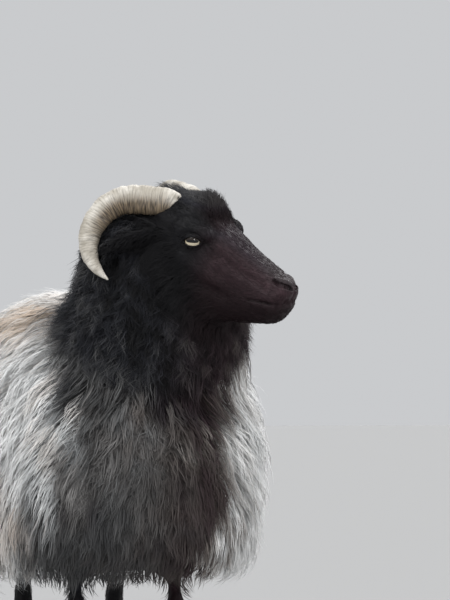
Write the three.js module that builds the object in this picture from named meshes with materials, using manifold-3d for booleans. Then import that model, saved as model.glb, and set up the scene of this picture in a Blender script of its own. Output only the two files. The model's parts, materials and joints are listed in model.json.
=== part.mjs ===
// A grey horned heath sheep, life size, standing with its head turned to its left.
// Millimetres, +Z up. The sheep faces -Y, so +X is its left side, and its claws stand on Z = 0.
// The flesh solids reach out to the tips of the coat.
import * as THREE from "three";
import { mergeVertices } from "three/addons/utils/BufferGeometryUtils.js";
import Module from "manifold-3d";

const wasm = await Module();
wasm.setup();

// ---- driving dimensions ----
const GAP = 0.4; // clearance between neighbouring solids

const FRONT_Y = -412; // foremost point of the chest fleece
const REAR_Y = 392; // hindmost point of the rump fleece
const TRUNK_STEPS = 24;
const TRUNK_SIDES = 28;

const NECK_STEPS = 12;
const NECK_SIDES = 26;
const COLLAR_SLOPE = 0.62; // how steeply the trunk-neck cut falls towards the chest
const COLLAR_TOP = { y: -190, z: 684 }; // where that cut crosses the withers

const HEAD = {
  place: new THREE.Vector3(23, -340, 746), // middle of the skull's back, on its axis
  turn: 46.5, // degrees to the sheep's left
  nod: 21, // degrees nose down
  roll: -8, // degrees, left side up
};
const HEAD_STEPS = 22;
const HEAD_SIDES = 24;

const EYE = { ahead: 91, up: 35, out: 47, radius: 13 };
const BROW = { ahead: 90, up: 48, out: 34, size: [20.5, 24, 16] };

const HORN_SIDES = 10;
const HORN_STEPS = 20;
const HORN_RADIUS = 20;
const HORN_FLATNESS = 0.84; // thickness over height of a horn's section

const EAR = { root: [44, -38, 22], middle: [80, -16, 12], tip: [114, 8, -8], width: 19, thick: 5 };

const FRONT_FOOT = { x: 69, y: -264 };
const HIND_FOOT = { x: 74, y: 246, aside: 11 };
const KNEE_Z = 205;
const HOCK_Z = 212;
const CORONET_Z = 34; // top of the claws

const CLAW = { halfWidth: 10.6, apart: 11.8, toe: 33, heel: 21, lean: 12 };
const DEWCLAW = { radius: 5.5, length: 15, out: 10.5, back: 17, z: 63 };

// ---- colours of the coat, horn and eye ----
const finish = (color, roughness) => new THREE.MeshStandardMaterial({ color, roughness, metalness: 0 });
const blackHair = finish(0x231f20, 0.75);
const maneHair = finish(0x2c2b2d, 0.85);
const greyFleece = finish(0xb4b6b6, 0.9);
const hornSheath = finish(0xc9bfae, 0.55);
const hoofHorn = finish(0x2b2724, 0.5);
const eyeSurface = finish(0xb59f63, 0.08);

const rad = THREE.MathUtils.degToRad;
const lerp = THREE.MathUtils.lerp;

// A smooth function through [position, value] pairs, with no overshoot between them.
function curveThrough(pairs) {
  const slope = pairs.map((p, i) => {
    const a = pairs[Math.max(i - 1, 0)];
    const b = pairs[Math.min(i + 1, pairs.length - 1)];
    const before = i ? (p[1] - a[1]) / (p[0] - a[0]) : 0;
    const after = i < pairs.length - 1 ? (b[1] - p[1]) / (b[0] - p[0]) : 0;
    return before * after > 0 ? (2 * before * after) / (before + after) : 0;
  });
  return (x) => {
    const at = THREE.MathUtils.clamp(x, pairs[0][0], pairs[pairs.length - 1][0]);
    const found = pairs.findIndex((p) => p[0] >= at);
    const i = Math.max(found - 1, 0);
    const [x0, y0] = pairs[i];
    const [x1, y1] = pairs[i + 1];
    const h = x1 - x0;
    const t = (at - x0) / h;
    const t2 = t * t;
    const t3 = t2 * t;
    return (
      (2 * t3 - 3 * t2 + 1) * y0 +
      (t3 - 2 * t2 + t) * h * slope[i] +
      (3 * t2 - 2 * t3) * y1 +
      (t3 - t2) * h * slope[i + 1]
    );
  };
}

// One curve for each named column of a table whose first column is the position.
function curvesOf(table) {
  const [names, ...rows] = table;
  const made = {};
  names.slice(1).forEach((name, i) => {
    made[name] = curveThrough(rows.map((row) => [row[0], row[i + 1]]));
  });
  return made;
}

// A closed body of rings. sectionAt(0..1) gives each ring's centre, its right and up directions,
// its half width, its reach above and below the centre, the squareness of both halves and its skew,
// which widens the upper half and narrows the lower one.
function loft(steps, sides, sectionAt) {
  const position = [];
  const index = [];
  const put = (v) => position.push(v.x, v.y, v.z) / 3 - 1;
  const rings = [];
  const middles = [];
  for (let i = 0; i <= steps; i++) {
    const { centre, right, up, wide, above, below, upper = 2, lower = 2, skew = 0 } = sectionAt(i / steps);
    const ring = [];
    for (let j = 0; j < sides; j++) {
      const angle = (2 * Math.PI * j) / sides;
      const c = Math.cos(angle);
      const s = Math.sin(angle);
      const power = 2 / (s >= 0 ? upper : lower);
      const across = wide * Math.sign(c) * Math.abs(c) ** power * (1 + skew * s);
      const height = (s >= 0 ? above : below) * Math.sign(s) * Math.abs(s) ** power;
      ring.push(put(centre.clone().addScaledVector(right, across).addScaledVector(up, height)));
    }
    rings.push(ring);
    middles.push(centre);
  }
  const first = put(middles[0]);
  const last = put(middles[steps]);
  for (let j = 0; j < sides; j++) {
    const k = (j + 1) % sides;
    for (let i = 0; i < steps; i++) {
      index.push(rings[i][j], rings[i][k], rings[i + 1][k]);
      index.push(rings[i][j], rings[i + 1][k], rings[i + 1][j]);
    }
    index.push(first, rings[0][k], rings[0][j]);
    index.push(last, rings[steps][j], rings[steps][k]);
  }
  const geometry = new THREE.BufferGeometry();
  geometry.setAttribute("position", new THREE.Float32BufferAttribute(position, 3));
  geometry.setIndex(index);
  return geometry;
}

// A loft along a curve through the given points, whose rings stand square to it and keep `side` level.
function limb(points, table, sides, steps, { grow = 0, side = new THREE.Vector3(1, 0, 0) } = {}) {
  const path = new THREE.CatmullRomCurve3(points.map((p) => new THREE.Vector3(...p)), false, "centripetal");
  const size = curvesOf(table);
  return loft(steps, sides, (t) => {
    const forward = path.getTangentAt(t);
    const up = new THREE.Vector3().crossVectors(side, forward).normalize();
    const right = new THREE.Vector3().crossVectors(forward, up);
    const deep = size.deep(t) + grow;
    return { centre: path.getPointAt(t), right, up, wide: size.wide(t) + grow, above: deep, below: deep };
  });
}

// ---- closed solids ----
function solidOf(geometry) {
  const bare = geometry.clone();
  bare.deleteAttribute("normal");
  bare.deleteAttribute("uv");
  const merged = mergeVertices(bare, 1e-3);
  const mesh = new wasm.Mesh({
    numProp: 3,
    vertProperties: merged.attributes.position.array,
    triVerts: new Uint32Array(merged.index.array),
  });
  const made = new wasm.Manifold(mesh);
  if (made.volume() >= 0) return made;
  const { triVerts } = mesh;
  for (let i = 0; i < triVerts.length; i += 3) [triVerts[i], triVerts[i + 1]] = [triVerts[i + 1], triVerts[i]];
  return new wasm.Manifold(new wasm.Mesh({ numProp: 3, vertProperties: mesh.vertProperties, triVerts }));
}

function geometryOf(solid) {
  const mesh = solid.getMesh();
  const geometry = new THREE.BufferGeometry();
  geometry.setAttribute("position", new THREE.BufferAttribute(new Float32Array(mesh.vertProperties), 3));
  geometry.setIndex(new THREE.BufferAttribute(mesh.triVerts, 1));
  geometry.computeVertexNormals();
  return geometry;
}

// The largest single body of a solid: a cut can leave crumbs.
function mainBody(solid) {
  return solid.decompose().reduce((a, b) => (a.volume() > b.volume() ? a : b));
}

function ellipsoid(centre, [x, y, z], detail = 12) {
  const ball = new THREE.SphereGeometry(1, detail * 2, detail);
  return solidOf(ball.scale(x, y, z).translate(...centre));
}

// Everything on one side of a level or sloping plane, as a big box.
function halfSpace(point, normal) {
  const reach = 3000;
  const box = new THREE.BoxGeometry(reach, reach, reach).translate(0, 0, reach / 2);
  const turn = new THREE.Quaternion().setFromUnitVectors(new THREE.Vector3(0, 0, 1), normal);
  return solidOf(box.applyQuaternion(turn).translate(point.x, point.y, point.z));
}

function node(name, solid, material) {
  const mesh = new THREE.Mesh(geometryOf(mainBody(solid)), material);
  mesh.name = name;
  return mesh;
}

// ---- trunk ----
const trunkSize = curvesOf([
  ["y", "top", "hem", "wide", "middle"],
  [-412, 600, 286, 196, 425],
  [-330, 655, 256, 214, 412],
  [-240, 694, 248, 222, 408],
  [-150, 697, 262, 222, 412],
  [-40, 692, 290, 220, 430],
  [80, 684, 284, 218, 430],
  [190, 695, 250, 214, 420],
  [300, 702, 240, 202, 415],
  [392, 716, 262, 178, 425],
]);

function trunkShape(grow = 0) {
  const middleY = (FRONT_Y + REAR_Y) / 2;
  const halfLength = (REAR_Y - FRONT_Y) / 2 + grow;
  return solidOf(
    loft(TRUNK_STEPS, TRUNK_SIDES, (t) => {
      const angle = Math.PI * lerp(0.012, 0.988, t);
      const y = middleY - halfLength * Math.cos(angle);
      const tall = Math.sin(angle) ** 0.4; // how far the ends have closed in, in height
      const broad = Math.sin(angle) ** 0.36; // and in breadth
      const middle = trunkSize.middle(y);
      return {
        centre: new THREE.Vector3(0, y, middle),
        right: new THREE.Vector3(1, 0, 0),
        up: new THREE.Vector3(0, 0, 1),
        wide: trunkSize.wide(y) * broad + grow,
        above: (trunkSize.top(y) - middle) * tall + grow,
        below: (middle - trunkSize.hem(y)) * tall + grow,
        upper: 2.5,
        lower: 3.2,
      };
    }),
  );
}

// ---- neck, with its mane ----
function neckShape() {
  return solidOf(
    limb(
      [
        [0, -190, 470],
        [14, -236, 545],
        [32, -300, 622],
        [29, -330, 700],
        [22, -338, 762],
        [22, -332, 798],
      ],
      [
        ["t", "wide", "deep"],
        [0, 176, 150],
        [0.25, 163, 148],
        [0.47, 147, 130],
        [0.68, 126, 103],
        [0.84, 101, 84],
        [0.95, 62, 58],
        [1, 26, 26],
      ],
      NECK_SIDES,
      NECK_STEPS,
    ),
  );
}

// ---- head, built facing -Y along its own axis and then turned into place ----
const headSize = curvesOf([
  ["ahead", "top", "bottom", "wide", "skew"],
  [-12, 52, -20, 34, 0],
  [0, 66, -42, 46, 0],
  [25, 82, -62, 54, 0.04],
  [50, 90, -74, 57, 0.08],
  [68, 92.5, -79, 58, 0.1],
  [83, 86, -81, 57.5, 0.1],
  [96, 76, -81, 55, 0.1],
  [107, 65, -80, 51, 0.08],
  [118, 60, -78.5, 47, 0.06],
  [132, 55.5, -72, 42.5, 0.02],
  [154, 46.5, -63, 37.5, -0.06],
  [177, 39.5, -55.5, 34, -0.1],
  [195, 34, -49.5, 32.5, -0.12],
  [211, 29, -44, 31.5, -0.12],
  [222, 25.5, -40, 30, -0.06],
  [230, 20, -33.5, 26, 0],
  [236, 11, -25, 18, 0],
  [239.5, -2, -14, 8, 0],
]);
const headPlacement = new THREE.Matrix4().compose(
  HEAD.place,
  new THREE.Quaternion().setFromEuler(new THREE.Euler(rad(HEAD.nod), rad(HEAD.roll), rad(HEAD.turn), "ZXY")),
  new THREE.Vector3(1, 1, 1),
);

// Rings lie closer together towards the muzzle's blunt end.
function headShape(grow = 0) {
  const ahead = curveThrough([[0, -12], [0.2, 42], [0.45, 104], [0.7, 172], [0.86, 218], [0.94, 233], [1, 239.5]]);
  const body = solidOf(
    loft(HEAD_STEPS, HEAD_SIDES, (t) => {
      const s = ahead(t);
      const middle = (headSize.top(s) + headSize.bottom(s)) / 2;
      const half = (headSize.top(s) - headSize.bottom(s)) / 2 + grow;
      return {
        centre: new THREE.Vector3(0, -s, middle),
        right: new THREE.Vector3(1, 0, 0),
        up: new THREE.Vector3(0, 0, 1),
        wide: headSize.wide(s) + grow,
        above: half,
        below: half,
        upper: 2.25,
        lower: 2.25,
        skew: headSize.skew(s),
      };
    }),
  );
  const size = BROW.size.map((r) => r + grow);
  const brows = [-1, 1].map((side) => ellipsoid([side * BROW.out, -BROW.ahead, BROW.up], size, 6));
  return body.add(brows[0]).add(brows[1]);
}

function eyeShape(side, grow = 0) {
  const r = EYE.radius + grow;
  return ellipsoid([side * EYE.out, -EYE.ahead, EYE.up], [r, r, r], 7);
}

// A crescent that leaves the crown outwards and backwards, turns down, and ends with its tip forward.
function hornShape(side, grow = 0) {
  const path = [
    [20, -44, 56],
    [27, -29, 67],
    [34, -14, 66],
    [42, 2, 63],
    [51, 18, 59],
    [61, 31, 52],
    [72, 40, 40],
    [82, 44.5, 25],
    [91, 44.5, 8],
    [98, 39, -8],
    [102, 29, -22],
    [104, 18, -31],
    [104, 5, -38],
    [103, -9, -43],
  ];
  return solidOf(
    limb(
      path.map(([x, y, z]) => [side * x, y, z]),
      [
        ["t", "wide", "deep"],
        [0, HORN_RADIUS * HORN_FLATNESS, HORN_RADIUS * 0.96],
        [0.32, HORN_RADIUS * HORN_FLATNESS, HORN_RADIUS],
        [0.48, HORN_RADIUS * 0.78, HORN_RADIUS * 0.92],
        [0.65, HORN_RADIUS * 0.66, HORN_RADIUS * 0.78],
        [0.8, HORN_RADIUS * 0.48, HORN_RADIUS * 0.57],
        [0.9, HORN_RADIUS * 0.31, HORN_RADIUS * 0.37],
        [1, 0.9, 0.9],
      ],
      HORN_SIDES,
      HORN_STEPS,
      { grow, side: new THREE.Vector3(1, side * -0.35, side * 0.3).normalize() },
    ),
  );
}

// A leaf, hollowed on its front, that hangs outwards and back.
function earShape(side, grow = 0) {
  const mirror = ([x, y, z]) => [side * x, y, z];
  const leaf = limb(
    [EAR.root, EAR.middle, EAR.tip].map(mirror),
    [
      ["t", "wide", "deep"],
      [0, EAR.thick * 1.7, EAR.width * 0.76],
      [0.2, EAR.thick * 1.5, EAR.width * 0.92],
      [0.5, EAR.thick * 1.1, EAR.width],
      [0.8, EAR.thick * 0.8, EAR.width * 0.66],
      [1, 1.5, 2.5],
    ],
    10,
    8,
    { grow, side: new THREE.Vector3(side * 0.6, -0.76, -0.25).normalize() },
  );
  return solidOf(leaf);
}

function makeHead() {
  const group = new THREE.Group();
  headPlacement.decompose(group.position, group.quaternion, group.scale);
  let flesh = headShape();
  for (const side of [-1, 1]) {
    flesh = flesh.subtract(hornShape(side, GAP)).subtract(eyeShape(side, GAP));
    flesh = flesh.subtract(earShape(side, GAP));
  }
  group.add(node("head", flesh, blackHair));
  for (const [side, name] of [[-1, "right"], [1, "left"]]) {
    group.add(node("eye_" + name, eyeShape(side), eyeSurface));
    group.add(node("horn_" + name, hornShape(side), hornSheath));
    group.add(node("ear_" + name, earShape(side).subtract(hornShape(side, GAP)), blackHair));
  }
  return group;
}

// ---- trunk, neck and tail as nodes ----
function makeBody() {
  const group = new THREE.Group();
  const normal = new THREE.Vector3(0, -COLLAR_SLOPE, 1).normalize();
  const cut = new THREE.Vector3(0, COLLAR_TOP.y, COLLAR_TOP.z);
  const whole = trunkShape().add(neckShape());
  const aboveCut = halfSpace(cut.clone().addScaledVector(normal, GAP / 2), normal);
  const belowCut = halfSpace(cut.clone().addScaledVector(normal, -GAP / 2), normal.clone().negate());
  let neck = whole.intersect(aboveCut);
  const inPlace = headPlacement.elements;
  neck = neck.subtract(headShape(GAP).transform(inPlace));
  for (const side of [-1, 1]) {
    neck = neck.subtract(hornShape(side, GAP).transform(inPlace));
    neck = neck.subtract(earShape(side, GAP).transform(inPlace));
  }
  group.add(node("neck", neck, maneHair));
  group.add(node("trunk", whole.intersect(belowCut), greyFleece));
  group.add(node("tail", tailShape().subtract(trunkShape(GAP)), greyFleece));
  return group;
}

function tailShape() {
  return solidOf(
    limb(
      [
        [0, 330, 580],
        [0, 384, 584],
        [0, 404, 538],
        [0, 409, 480],
        [0, 404, 425],
      ],
      [
        ["t", "wide", "deep"],
        [0, 34, 26],
        [0.35, 40, 27],
        [0.65, 36, 24],
        [0.88, 24, 17],
        [1, 7, 6],
      ],
      12,
      8,
    ),
  );
}

// ---- legs ----
const frontLeg = {
  points: [
    [8, 26, 372],
    [4, 14, 300],
    [1, 0, KNEE_Z + 4],
    [0, 4, 130],
    [0, 2, 76],
    [0, -9, 52],
    [0, -16, CORONET_Z],
  ],
  table: [
    ["t", "wide", "deep"],
    [0, 25, 36],
    [0.22, 19.5, 28],
    [0.4, 17.5, 21],
    [0.49, 18.5, 21],
    [0.6, 14, 17],
    [0.78, 13, 15.5],
    [0.88, 17.5, 19],
    [0.94, 16, 17],
    [1, 21, 25],
  ],
  split: KNEE_Z,
  upper: "forearm",
};
const hindLeg = {
  points: [
    [12, -88, 372],
    [6, -40, 300],
    [0, 30, HOCK_Z + 8],
    [-1, 32, 180],
    [-1, 22, 120],
    [0, 10, 76],
    [0, -4, 52],
    [0, -12, CORONET_Z],
  ],
  table: [
    ["t", "wide", "deep"],
    [0, 36, 58],
    [0.22, 26, 40],
    [0.4, 17.5, 25],
    [0.5, 18.5, 25],
    [0.6, 14.5, 19],
    [0.76, 13.5, 16],
    [0.87, 17.5, 19.5],
    [0.94, 16, 17],
    [1, 21, 25],
  ],
  split: HOCK_Z,
  upper: "gaskin",
};

// A claw stands on a flat sole and leans back from its toe. Its inner wall is nearly straight.
function clawShape(half) {
  return solidOf(
    loft(3, 10, (t) => {
      const rise = (CORONET_Z - GAP) * t;
      const shrink = lerp(1, 0.8, t);
      return {
        centre: new THREE.Vector3(half * CLAW.apart, -22 + CLAW.lean * t, rise),
        right: new THREE.Vector3(-1, 0, 0),
        up: new THREE.Vector3(0, -1, 0),
        wide: CLAW.halfWidth * lerp(1, 0.86, t),
        above: CLAW.toe * shrink * lerp(1, 0.72, t),
        below: CLAW.heel * shrink,
        upper: 1.9,
        lower: 2.6,
      };
    }),
  );
}

function dewclawShape(half, grow = 0) {
  const { radius, length, out, back, z } = DEWCLAW;
  return solidOf(
    limb(
      [
        [half * out, back - length * 0.5, z + length * 0.4],
        [half * (out + 1), back + length * 0.3, z - length * 0.1],
        [half * (out + 1), back + length * 0.4, z - length * 0.7],
      ],
      [
        ["t", "wide", "deep"],
        [0, radius, radius],
        [0.6, radius, radius],
        [1, 1.6, 1.6],
      ],
      6,
      3,
      { grow },
    ),
  );
}

function makeLeg(name, leg, x, y, trunk) {
  const group = new THREE.Group();
  group.position.set(x, y, 0);
  const side = Math.sign(x);
  const around = trunk.translate([-x, -y, 0]);
  let flesh = solidOf(limb(leg.points.map(([a, b, c]) => [side * a, b, c]), leg.table, 10, 12));
  const ground = new THREE.Vector3(0, 0, CORONET_Z);
  flesh = flesh.subtract(around).intersect(halfSpace(ground, new THREE.Vector3(0, 0, 1)));
  for (const half of [-1, 1]) flesh = flesh.subtract(dewclawShape(half, GAP));
  const joint = (dz) => new THREE.Vector3(0, 0, leg.split + dz);
  const upper = flesh.intersect(halfSpace(joint(GAP / 2), new THREE.Vector3(0, 0, 1)));
  const lower = flesh.intersect(halfSpace(joint(-GAP / 2), new THREE.Vector3(0, 0, -1)));
  group.add(node(`${name}_${leg.upper}`, upper, blackHair));
  group.add(node(`${name}_cannon`, lower, blackHair));
  for (const [half, which] of [[-side, "inner"], [side, "outer"]]) {
    group.add(node(`${name}_claw_${which}`, clawShape(half), hoofHorn));
    group.add(node(`${name}_dewclaw_${which}`, dewclawShape(half), hoofHorn));
  }
  return group;
}

// ---- the whole sheep, with its origin on the floor under the middle of its box ----
const sheep = new THREE.Group();
sheep.add(makeBody(), makeHead());
const trunkCutter = trunkShape(GAP);
for (const [side, name] of [[-1, "right"], [1, "left"]]) {
  sheep.add(makeLeg("front_" + name, frontLeg, side * FRONT_FOOT.x, FRONT_FOOT.y, trunkCutter));
  sheep.add(makeLeg("hind_" + name, hindLeg, side * HIND_FOOT.x + HIND_FOOT.aside, HIND_FOOT.y, trunkCutter));
}
sheep.updateMatrixWorld(true);
const box = new THREE.Box3().setFromObject(sheep, true);
sheep.position.set(-(box.min.x + box.max.x) / 2, -(box.min.y + box.max.y) / 2, -box.min.z);

export default sheep;
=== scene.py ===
import json
import math
import bpy
import numpy as np
from mathutils import Matrix, Vector, noise
from mathutils.bvhtree import BVHTree
from mathutils.kdtree import KDTree

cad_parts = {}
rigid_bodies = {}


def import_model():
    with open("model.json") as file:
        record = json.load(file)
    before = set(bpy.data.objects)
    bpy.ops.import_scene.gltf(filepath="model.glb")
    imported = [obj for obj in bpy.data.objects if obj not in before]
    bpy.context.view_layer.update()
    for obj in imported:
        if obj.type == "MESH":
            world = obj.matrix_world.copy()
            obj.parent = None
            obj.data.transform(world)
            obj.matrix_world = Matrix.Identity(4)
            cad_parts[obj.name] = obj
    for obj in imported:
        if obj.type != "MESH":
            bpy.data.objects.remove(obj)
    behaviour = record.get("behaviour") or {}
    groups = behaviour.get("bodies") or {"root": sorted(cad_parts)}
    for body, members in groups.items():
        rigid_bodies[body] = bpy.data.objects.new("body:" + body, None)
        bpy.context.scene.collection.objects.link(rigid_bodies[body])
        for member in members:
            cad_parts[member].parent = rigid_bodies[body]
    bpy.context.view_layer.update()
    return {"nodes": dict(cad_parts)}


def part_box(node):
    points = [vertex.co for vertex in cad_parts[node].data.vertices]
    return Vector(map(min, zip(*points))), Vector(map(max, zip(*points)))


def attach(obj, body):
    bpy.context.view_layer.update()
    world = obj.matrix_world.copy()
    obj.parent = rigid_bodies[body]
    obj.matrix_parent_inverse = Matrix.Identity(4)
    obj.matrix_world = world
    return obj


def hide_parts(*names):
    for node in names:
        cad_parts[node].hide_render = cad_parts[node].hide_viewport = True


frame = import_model()
nodes = frame["nodes"]
mm = 0.001
dice = np.random.default_rng(385)

bothSides = (-1, 1)  # the sheep's right, then its left
legs = ("front_left", "front_right", "hind_left", "hind_right")
upperLegs = tuple(leg + ("_forearm" if "front" in leg else "_gaskin") for leg in legs)
cannons = tuple(leg + "_cannon" for leg in legs)
fleshNodes = ("trunk", "neck", "head", "tail", "ear_left", "ear_right") + upperLegs + cannons


def middle(*names):
    corners = [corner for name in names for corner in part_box(name)]
    low = Vector([min(corner[i] for corner in corners) for i in range(3)])
    high = Vector([max(corner[i] for corner in corners) for i in range(3)])
    return (low + high) / 2


def smoothStep(low, high, value):
    t = np.clip((value - low) / (high - low), 0, 1)
    return t * t * (3 - 2 * t)


def around(value, centre, reach):
    return np.exp(-(((value - centre) / reach) ** 2))


def unit(vectors):
    return vectors / np.maximum(np.linalg.norm(vectors, axis=-1, keepdims=True), 1e-9)


# The head is worked on in its own axes: ahead to the nose, up to the crown, out to the sheep's left, in mm.
head = {"turn": 46.5, "nod": 21, "roll": -8, "eyeAhead": 91, "eyeUp": 35}
headTurn = (
    Matrix.Rotation(math.radians(head["turn"]), 3, "Z")
    @ Matrix.Rotation(math.radians(head["nod"]), 3, "X")
    @ Matrix.Rotation(math.radians(head["roll"]), 3, "Y")
)
headPlace = (middle("eye_left") + middle("eye_right")) / 2
headPlace -= headTurn @ Vector((0, -head["eyeAhead"], head["eyeUp"])) * mm
headAxes = np.array(headTurn)
frontFeet = middle("front_left_cannon", "front_right_cannon")
stanceY = frontFeet.y + 0.0106  # the line through both front feet: the markings are laid out from here


def inHead(points):
    local = (points - np.array(headPlace)) @ headAxes / mm
    return -local[:, 1], local[:, 2], local[:, 0]


def fromHead(ahead, up, out):
    return np.array(headPlace) + headAxes @ np.array((out, -ahead, up)) * mm


# Small tools for meshes.
def pick(*objects):
    bpy.ops.object.select_all(action="DESELECT")
    for each in objects:
        each.select_set(True)
    bpy.context.view_layer.objects.active = objects[0]


def startEdit(action="SELECT"):
    bpy.ops.object.mode_set(mode="EDIT")
    bpy.ops.mesh.select_all(action=action)


def endEdit():
    bpy.ops.object.mode_set(mode="OBJECT")


def pointsOf(mesh):
    points = np.zeros(len(mesh.vertices) * 3)
    mesh.vertices.foreach_get("co", points)
    return points.reshape(-1, 3)


def putPoints(mesh, points):
    mesh.vertices.foreach_set("co", points.ravel())
    mesh.update()


def edgesOf(mesh):
    pairs = np.zeros(len(mesh.edges) * 2, int)
    mesh.edges.foreach_get("vertices", pairs)
    return pairs.reshape(-1, 2)


def trianglesOf(mesh, key="vertices"):
    mesh.calc_loop_triangles()
    corners = np.zeros(len(mesh.loop_triangles) * 3, np.int32)
    mesh.loop_triangles.foreach_get(key, corners)
    return corners.reshape(-1, 3)


# How many corners each face has, where they start in the mesh's list of corners, and that list.
def facesOf(mesh):
    sizes = np.zeros(len(mesh.polygons), int)
    mesh.polygons.foreach_get("loop_total", sizes)
    corners = np.zeros(len(mesh.loops), int)
    mesh.loops.foreach_get("vertex_index", corners)
    return sizes, np.concatenate([[0], np.cumsum(sizes)[:-1]]), corners


def treeOf(mesh, points):
    places = [Vector(point) for point in points]
    return BVHTree.FromPolygons(places, [polygon.vertices[:] for polygon in mesh.polygons])


def normalsOf(mesh, points):
    corners = trianglesOf(mesh)
    start, second, third = (points[corners[:, i]] for i in range(3))
    facing = np.cross(second - start, third - start)
    shared = corners.ravel()
    total = [np.bincount(shared, np.repeat(facing[:, i], 3), len(points)) for i in range(3)]
    return unit(np.stack(total, 1))


def neighbourMean(values, pairs):
    count = len(values)
    one, other = pairs.T
    degree = np.maximum(np.bincount(pairs.ravel(), minlength=count), 1)
    columns = values.reshape(count, -1).T
    total = [
        np.bincount(one, column[other], count) + np.bincount(other, column[one], count) for column in columns
    ]
    return (np.stack(total, 1) / degree[:, None]).reshape(values.shape)


def spread(values, pairs, rounds):
    for _ in range(rounds):
        values = (values + neighbourMean(values, pairs)) / 2
    return values


# Each round smooths the facets away and then gives the size back.
def soften(points, pairs, rounds, inward, outward, share=1):
    for _ in range(rounds):
        points = points + (neighbourMean(points, pairs) - points) * inward * share
        points = points - (neighbourMean(points, pairs) - points) * outward * share
    return points


def searchTree(places):
    tree = KDTree(len(places))
    for index, place in enumerate(places):
        tree.insert(place, index)
    tree.balance()
    return tree


def attribute(mesh, name, values):
    layer = mesh.attributes.get(name) or mesh.attributes.new(name, "FLOAT", "POINT")
    layer.data.foreach_set("value", np.asarray(values, np.float32))


def newPiece(name, mesh):
    piece = bpy.data.objects.new(name, mesh)
    bpy.context.scene.collection.objects.link(piece)
    return piece


# Copies of CAD nodes, joined, swollen a little if they should fuse, and remeshed as one skin.
def fusedCopy(name, parts, voxel, swell=0):
    pick(*[newPiece(part + "Copy", nodes[part].data.copy()) for part in parts])
    bpy.ops.object.join()
    fused = bpy.context.object
    fused.name = name
    startEdit()
    bpy.ops.mesh.remove_doubles(threshold=1e-5)
    if swell:
        bpy.ops.transform.shrink_fatten(value=swell * mm)
    endEdit()
    fused.data.materials.clear()
    fused.data.remesh_voxel_size = voxel * mm
    bpy.ops.object.voxel_remesh()
    return fused


def keep(piece, slot, *replaced):
    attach(piece, "root")
    if replaced:
        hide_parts(*replaced)
    print(piece.name, "is done")


# Where the camera stands, in metres, and how it is turned, in degrees.
camera = {"lens": 163, "aside": -0.725, "before": 3.758, "height": 0.55, "turn": -13.0, "tilt": 1.75}


def makeCamera():
    place = Vector((camera["aside"], stanceY - camera["before"], camera["height"]))
    bpy.ops.object.camera_add(location=place)
    made = bpy.context.object
    made.rotation_euler = (math.radians(90 + camera["tilt"]), 0, math.radians(camera["turn"]))
    made.data.lens = camera["lens"]
    made.data.clip_end = 60
    bpy.context.scene.camera = made


# Each sun has a direction towards it, its strength and how wide it is in the sky, in degrees.
light = {
    "sky": (0.585, 0.595, 0.61),
    "suns": {
        "key": ((-0.45, -0.40, 0.80), 1.7, 50),
        "back": ((0.45, 0.50, 0.74), 1.35, 40),
        "side": ((0.85, -0.25, 0.45), 0.7, 60),
    },
    "catch": {"place": (-0.19, -2.83, 1.24), "size": 0.5, "power": 10.0},
    "floor": (0.392, 0.392, 0.392),
}


def makeLights():
    world = bpy.data.worlds.new("studio")
    bpy.context.scene.world = world
    world.use_nodes = True
    world.node_tree.nodes["Background"].inputs["Color"].default_value = (*light["sky"], 1)
    for name, (toLamp, strength, wide) in light["suns"].items():
        bpy.ops.object.light_add(type="SUN", location=Vector(toLamp) * 4)
        lamp = bpy.context.object
        lamp.name = name
        lamp.data.energy = strength
        lamp.data.angle = math.radians(wide)
        lamp.rotation_euler = (-Vector(toLamp)).to_track_quat("-Z", "Y").to_euler()
    place = Vector(light["catch"]["place"])  # a small soft lamp in front, for the glint in the eye
    bpy.ops.object.light_add(type="AREA", location=place)
    lamp = bpy.context.object
    lamp.name = "catch"
    lamp.data.shape = "DISK"
    lamp.data.size = light["catch"]["size"]
    lamp.data.energy = light["catch"]["power"]
    lamp.rotation_euler = (headPlace - place).to_track_quat("-Z", "Y").to_euler()


def makeFloor():
    bpy.ops.mesh.primitive_plane_add(size=60)
    floor = bpy.context.object
    floor.name = "floor"
    finish = bpy.data.materials.new("paleFloor")
    finish.use_nodes = True
    shader = finish.node_tree.nodes["Principled BSDF"]
    shader.inputs["Base Color"].default_value = (*light["floor"], 1)
    shader.inputs["Roughness"].default_value = 0.95
    shader.inputs["Specular IOR Level"].default_value = 0.1
    floor.data.materials.append(finish)


makeCamera()
makeLights()
makeFloor()
bpy.context.scene.view_settings.view_transform = "Standard"
print("camera, light and floor are set")

# How far the skin lies under the tips of the coat, in mm, and in how many steps it is drawn in and smoothed.
# At the nape and the tail's tip it lies less deep, by these shares.
skin = {
    "voxel": 4.0, "swell": 0.7,
    "depth": {
        "trunk": 31, "neck": 27, "tail": 15, "forearm": 5, "gaskin": 7,
        "head": 1.6, "ear": 1.2, "cannon": 1.4,
    },
    "belly": 24, "nape": 0.5, "tailTip": 0.75,
    "blend": 50, "steps": 8, "unfold": 25, "keptUnderWool": 0.24,
}


def depthOf(name):
    kind = "ear" if name.startswith("ear") else name.split("_")[-1]
    return skin["depth"][kind] * mm


def rawSkin():  # the eyes fill their sockets for now, and closed pockets inside the body are deleted
    joined = fusedCopy("skin", fleshNodes + ("eye_left", "eye_right"), skin["voxel"], skin["swell"])
    startEdit("DESELECT")
    endEdit()
    joined.data.vertices[int(pointsOf(joined.data)[:, 2].argmax())].select = True
    bpy.ops.object.mode_set(mode="EDIT")
    bpy.ops.mesh.select_linked()
    bpy.ops.mesh.select_all(action="INVERT")
    bpy.ops.mesh.delete(type="VERT")
    endEdit()
    return joined


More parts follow.
